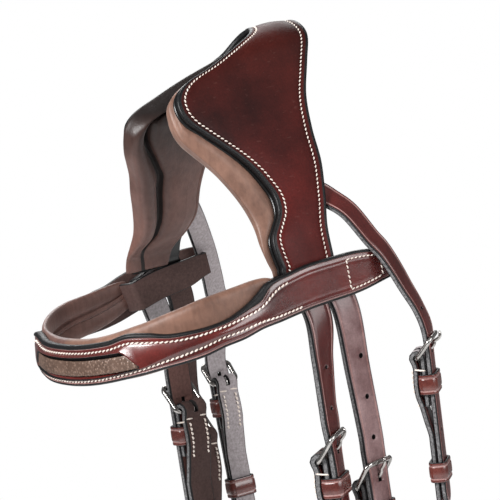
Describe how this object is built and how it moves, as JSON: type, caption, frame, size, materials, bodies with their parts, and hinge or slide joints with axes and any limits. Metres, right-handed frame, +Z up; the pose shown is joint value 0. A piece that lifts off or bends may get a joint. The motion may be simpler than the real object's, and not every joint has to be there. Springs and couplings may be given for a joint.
{
  "type": "anatomic bridle",
  "caption": "Anatomic horse bridle: padded butterfly headpiece, raised browband with strap loops, buckled cheek, noseband and throat straps with keepers and runners.",
  "frame": {"origin": "on the flat underside of the headpiece pad, where the bridle rests on the poll", "axes": "+Z up, -Y towards the forehead, +X towards the horse's left side"},
  "size_m": [0.2067, 0.2702, 0.5107],
  "materials": {
    "leather": "satin",
    "dark_leather": "glossy",
    "pad": "matte",
    "inlay": "embossed",
    "metal": "polished"
  },
  "bodies": {
    "bridle": {"headpiece_leather": "leather", "headpiece_backing": "dark_leather", "headpiece_pad": "pad", "cheek_buckle_left_keeper": "leather", "cheek_billet_left": "leather", "cheekpiece_left": "leather", "noseband_buckle_left_keeper": "leather", "noseband_billet_left": "leather", "noseband_hanger_left": "leather", "cheek_buckle_right_keeper": "leather", "cheek_billet_right": "leather", "cheekpiece_right": "leather", "noseband_buckle_right_keeper": "leather", "noseband_billet_right": "leather", "noseband_hanger_right": "leather", "throat_buckle_left_keeper": "leather", "throat_billet_left": "leather", "throat_buckle_right_keeper": "leather", "throat_billet_right": "leather", "throat_strap": "leather", "browband_leather": "leather", "browband_inlay": "inlay", "browband_pad": "pad", "browband_loop_backing_left": "leather", "browband_loop_backing_right": "leather", "noseband_leather": "leather", "noseband_inlay": "inlay", "noseband_pad": "pad", "chin_buckle_keeper": "leather", "chin_buckle_strap": "leather", "chin_billet": "leather", "hook_stud_left": "metal", "hook_stud_right": "metal"},
    "cheek_buckle_left_frame": {"cheek_buckle_left_frame": "metal"},
    "cheek_buckle_left_tongue": {"cheek_buckle_left_tongue": "metal"},
    "cheek_buckle_left_runner": {"cheek_buckle_left_runner": "leather"},
    "noseband_buckle_left_frame": {"noseband_buckle_left_frame": "metal"},
    "noseband_buckle_left_tongue": {"noseband_buckle_left_tongue": "metal"},
    "noseband_buckle_left_runner": {"noseband_buckle_left_runner": "leather"},
    "cheek_buckle_right_frame": {"cheek_buckle_right_frame": "metal"},
    "cheek_buckle_right_tongue": {"cheek_buckle_right_tongue": "metal"},
    "cheek_buckle_right_runner": {"cheek_buckle_right_runner": "leather"},
    "noseband_buckle_right_frame": {"noseband_buckle_right_frame": "metal"},
    "noseband_buckle_right_tongue": {"noseband_buckle_right_tongue": "metal"},
    "noseband_buckle_right_runner": {"noseband_buckle_right_runner": "leather"},
    "throat_buckle_left_frame": {"throat_buckle_left_frame": "metal"},
    "throat_buckle_left_tongue": {"throat_buckle_left_tongue": "metal"},
    "throat_buckle_left_runner": {"throat_buckle_left_runner": "leather"},
    "throat_buckle_right_frame": {"throat_buckle_right_frame": "metal"},
    "throat_buckle_right_tongue": {"throat_buckle_right_tongue": "metal"},
    "throat_buckle_right_runner": {"throat_buckle_right_runner": "leather"},
    "chin_buckle_frame": {"chin_buckle_frame": "metal"},
    "chin_buckle_tongue": {"chin_buckle_tongue": "metal"},
    "chin_buckle_runner": {"chin_buckle_runner": "leather"}
  },
  "joints": [
    {"name": "cheek_buckle_left_frame_hinge", "type": "hinge", "parent": "bridle", "child": "cheek_buckle_left_frame", "pos_m": [0.07073, -0.05743, -0.2102], "axis": [-0.6157, 0.788, 0], "range_deg": [0, 35]},
    {"name": "cheek_buckle_left_tongue_hinge", "type": "hinge", "parent": "bridle", "child": "cheek_buckle_left_tongue", "pos_m": [0.07073, -0.05743, -0.2102], "axis": [-0.6157, 0.788, 0], "range_deg": [-2, 2]},
    {"name": "cheek_buckle_left_runner_slide", "type": "slide", "parent": "bridle", "child": "cheek_buckle_left_runner", "axis": [0, 0, 1], "range_m": [-0.008, 0.008]},
    {"name": "noseband_buckle_left_frame_hinge", "type": "hinge", "parent": "bridle", "child": "noseband_buckle_left_frame", "pos_m": [0.06941, -0.03074, -0.2312], "axis": [-0.2419, 0.9703, 0], "range_deg": [0, 35]},
    {"name": "noseband_buckle_left_tongue_hinge", "type": "hinge", "parent": "bridle", "child": "noseband_buckle_left_tongue", "pos_m": [0.06941, -0.03074, -0.2312], "axis": [-0.2419, 0.9703, 0], "range_deg": [-2, 2]},
    {"name": "noseband_buckle_left_runner_slide", "type": "slide", "parent": "bridle", "child": "noseband_buckle_left_runner", "axis": [0, 0, 1], "range_m": [-0.008, 0.008]},
    {"name": "cheek_buckle_right_frame_hinge", "type": "hinge", "parent": "bridle", "child": "cheek_buckle_right_frame", "pos_m": [-0.06925, -0.04712, -0.1952], "axis": [0.1219, -0.9925, 0], "range_deg": [0, 35]},
    {"name": "cheek_buckle_right_tongue_hinge", "type": "hinge", "parent": "bridle", "child": "cheek_buckle_right_tongue", "pos_m": [-0.06925, -0.04712, -0.1952], "axis": [0.1219, -0.9925, 0], "range_deg": [-2, 2]},
    {"name": "cheek_buckle_right_runner_slide", "type": "slide", "parent": "bridle", "child": "cheek_buckle_right_runner", "axis": [0, 0, 1], "range_m": [-0.008, 0.008]},
    {"name": "noseband_buckle_right_frame_hinge", "type": "hinge", "parent": "bridle", "child": "noseband_buckle_right_frame", "pos_m": [-0.08735, -0.03162, -0.2172], "axis": [0.1219, -0.9925, 0], "range_deg": [0, 35]},
    {"name": "noseband_buckle_right_tongue_hinge", "type": "hinge", "parent": "bridle", "child": "noseband_buckle_right_tongue", "pos_m": [-0.08735, -0.03162, -0.2172], "axis": [0.1219, -0.9925, 0], "range_deg": [-2, 2]},
    {"name": "noseband_buckle_right_runner_slide", "type": "slide", "parent": "bridle", "child": "noseband_buckle_right_runner", "axis": [0, 0, 1], "range_m": [-0.008, 0.008]},
    {"name": "throat_buckle_left_frame_hinge", "type": "hinge", "parent": "bridle", "child": "throat_buckle_left_frame", "pos_m": [0.08855, 0.00098, -0.16698], "axis": [-0.6688, 0.7427, 0.0334], "range_deg": [0, 35]},
    {"name": "throat_buckle_left_tongue_hinge", "type": "hinge", "parent": "bridle", "child": "throat_buckle_left_tongue", "pos_m": [0.08855, 0.00098, -0.16698], "axis": [-0.6688, 0.7427, 0.0334], "range_deg": [-2, 2]},
    {"name": "throat_buckle_left_runner_slide", "type": "slide", "parent": "bridle", "child": "throat_buckle_left_runner", "axis": [0.0499, 0, 0.9988], "range_m": [-0.008, 0.008]},
    {"name": "throat_buckle_right_frame_hinge", "type": "hinge", "parent": "bridle", "child": "throat_buckle_right_frame", "pos_m": [-0.09403, -0.00652, -0.1909], "axis": [-0.0872, -0.9962, -0.0044], "range_deg": [0, 35]},
    {"name": "throat_buckle_right_tongue_hinge", "type": "hinge", "parent": "bridle", "child": "throat_buckle_right_tongue", "pos_m": [-0.09403, -0.00652, -0.1909], "axis": [-0.0872, -0.9962, -0.0044], "range_deg": [-2, 2]},
    {"name": "throat_buckle_right_runner_slide", "type": "slide", "parent": "bridle", "child": "throat_buckle_right_runner", "axis": [-0.0499, 0, 0.9988], "range_m": [-0.008, 0.008]},
    {"name": "chin_buckle_frame_hinge", "type": "hinge", "parent": "bridle", "child": "chin_buckle_frame", "pos_m": [0.0568, 0.051, -0.3982], "axis": [0, 0, -1], "range_deg": [0, 35]},
    {"name": "chin_buckle_tongue_hinge", "type": "hinge", "parent": "bridle", "child": "chin_buckle_tongue", "pos_m": [0.0568, 0.051, -0.3982], "axis": [0, 0, -1], "range_deg": [-2, 2]},
    {"name": "chin_buckle_runner_slide", "type": "slide", "parent": "bridle", "child": "chin_buckle_runner", "axis": [0, 1, 0], "range_m": [-0.008, 0.008]}
  ]
}
